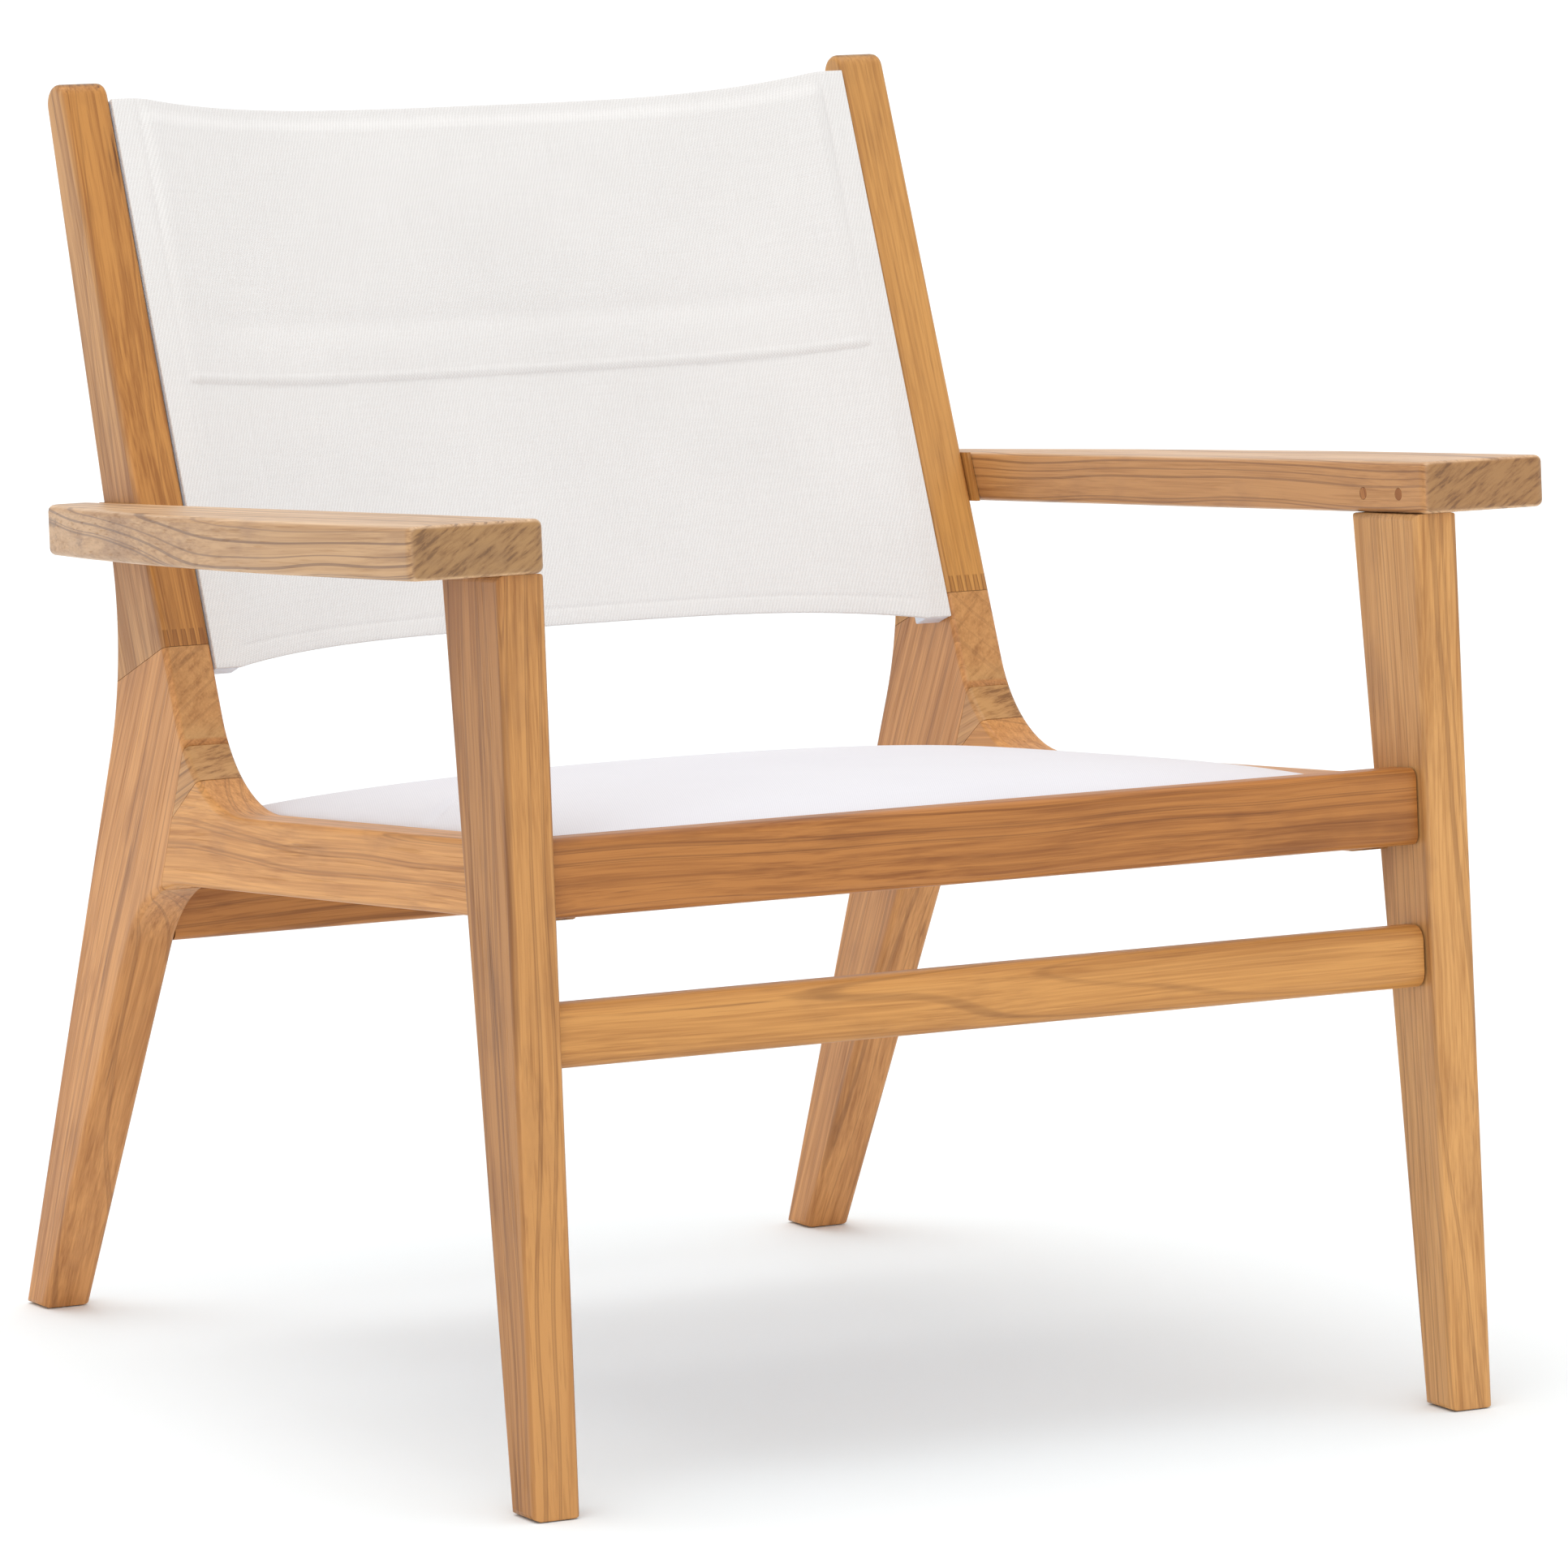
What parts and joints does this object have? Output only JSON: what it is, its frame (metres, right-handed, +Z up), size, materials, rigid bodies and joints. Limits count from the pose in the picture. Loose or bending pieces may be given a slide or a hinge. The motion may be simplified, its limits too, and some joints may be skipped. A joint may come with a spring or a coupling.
{
  "type": "garden lounge armchair",
  "caption": "Rigid teak lounge armchair with flat sloping arms, a stretched white sling back and a crowned white padded sling seat.",
  "frame": {"origin": "on the floor under the middle of the chair", "axes": "+Z up, the chair faces -Y, +X is the left hand of a person sitting in it"},
  "size_m": [0.742, 0.713, 0.7488],
  "materials": {
    "teak": "oiled satin",
    "back_fabric": "matt woven mesh",
    "seat_fabric": "matt fine weave",
    "track": "satin white"
  },
  "bodies": {
    "root": {"arm_left": "teak", "arm_plug_front_left": "teak", "arm_plug_front_right": "teak", "arm_plug_rear_left": "teak", "arm_plug_rear_right": "teak", "arm_right": "teak", "arm_spacer_left": "teak", "arm_spacer_right": "teak", "back_post_left": "teak", "back_post_right": "teak", "back_sling": "back_fabric", "back_track_left": "track", "back_track_right": "track", "front_leg_left": "teak", "front_leg_right": "teak", "front_rail": "teak", "front_stretcher": "teak", "knee_block_left": "teak", "knee_block_right": "teak", "rear_leg_left": "teak", "rear_leg_right": "teak", "rear_rail": "teak", "seat_pad": "seat_fabric", "seat_track_left": "track", "seat_track_right": "track", "side_rail_left": "teak", "side_rail_right": "teak"}
  },
  "joints": []
}
